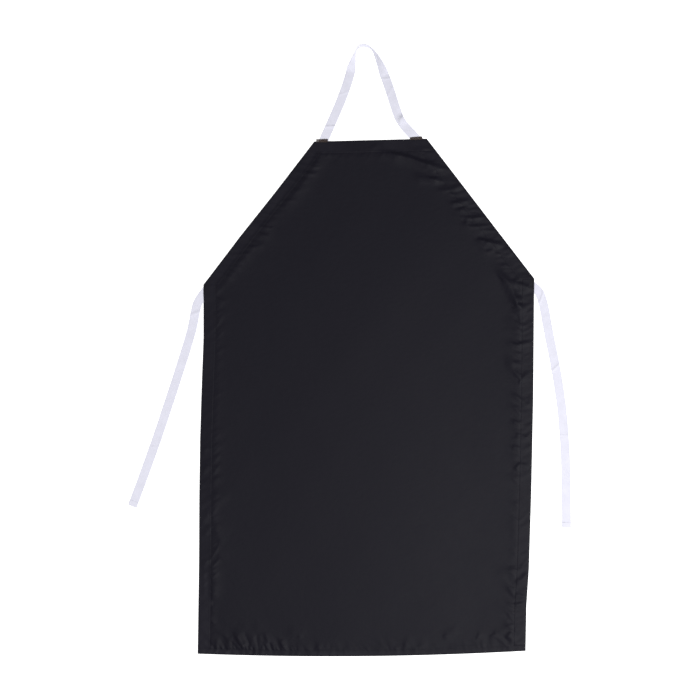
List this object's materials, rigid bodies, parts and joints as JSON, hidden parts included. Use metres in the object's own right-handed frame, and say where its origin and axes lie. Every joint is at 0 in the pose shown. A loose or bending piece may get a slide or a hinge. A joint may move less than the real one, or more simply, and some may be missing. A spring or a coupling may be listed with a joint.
{
  "type": "artist smock apron",
  "caption": "Flat bib apron with turned hems, a sewn tape neck strap and side waist ties; the bib and strap fold over and the ties swing.",
  "frame": {"origin": "middle of the panel's outline, on the plane that the apron lies on", "axes": "+Z out of the apron's front, +Y up the bib to the neck strap, +X across to the side with the right-hand tie as the apron is seen"},
  "size_m": [0.9199, 1.2639, 0.0193],
  "materials": {
    "panel_cloth": "fine plain-weave black cloth with a low sheen",
    "hem_cloth": "the same black cloth, turned twice at the edges",
    "black_thread": "black sewing thread",
    "twill_tape": "soft white twill tape",
    "white_thread": "white sewing thread"
  },
  "bodies": {
    "skirt": {"skirt_panel": "panel_cloth", "hem_bottom": "hem_cloth", "seam_bottom": "black_thread", "hem_side_left": "hem_cloth", "seam_side_left": "black_thread", "tie_end_left": "twill_tape", "tie_tack_left": "black_thread", "hem_side_right": "hem_cloth", "seam_side_right": "black_thread", "tie_end_right": "twill_tape", "tie_tack_right": "black_thread"},
    "bib": {"bib_panel": "panel_cloth", "hem_top": "hem_cloth", "seam_top": "black_thread", "hem_bib_left": "hem_cloth", "seam_bib_left": "black_thread", "strap_end_left": "twill_tape", "neck_tack_left": "black_thread", "hem_bib_right": "hem_cloth", "seam_bib_right": "black_thread", "strap_end_right": "twill_tape", "neck_tack_right": "black_thread"},
    "strap": {"neck_strap": "twill_tape"},
    "left_tie": {"tie_left": "twill_tape", "tie_stitch_left": "white_thread"},
    "right_tie": {"tie_right": "twill_tape", "tie_stitch_right": "white_thread"}
  },
  "joints": [
    {"name": "bib_fold", "type": "hinge", "parent": "skirt", "child": "bib", "pos_m": [0, 0.2415, 0.0025], "axis": [1, 0, 0], "range_deg": [0, 160]},
    {"name": "strap_fold", "type": "hinge", "parent": "bib", "child": "strap", "pos_m": [0, 0.53775, 0.0016], "axis": [1, 0, 0], "range_deg": [0, 172]},
    {"name": "left_tie_swing", "type": "hinge", "parent": "skirt", "child": "left_tie", "pos_m": [-0.334, 0.23, 0.0003], "axis": [0, 0, -1], "range_deg": [-7, 110]},
    {"name": "right_tie_swing", "type": "hinge", "parent": "skirt", "child": "right_tie", "pos_m": [0.334, 0.23, 0.0003], "axis": [0, 0, 1], "range_deg": [-7, 110]}
  ]
}
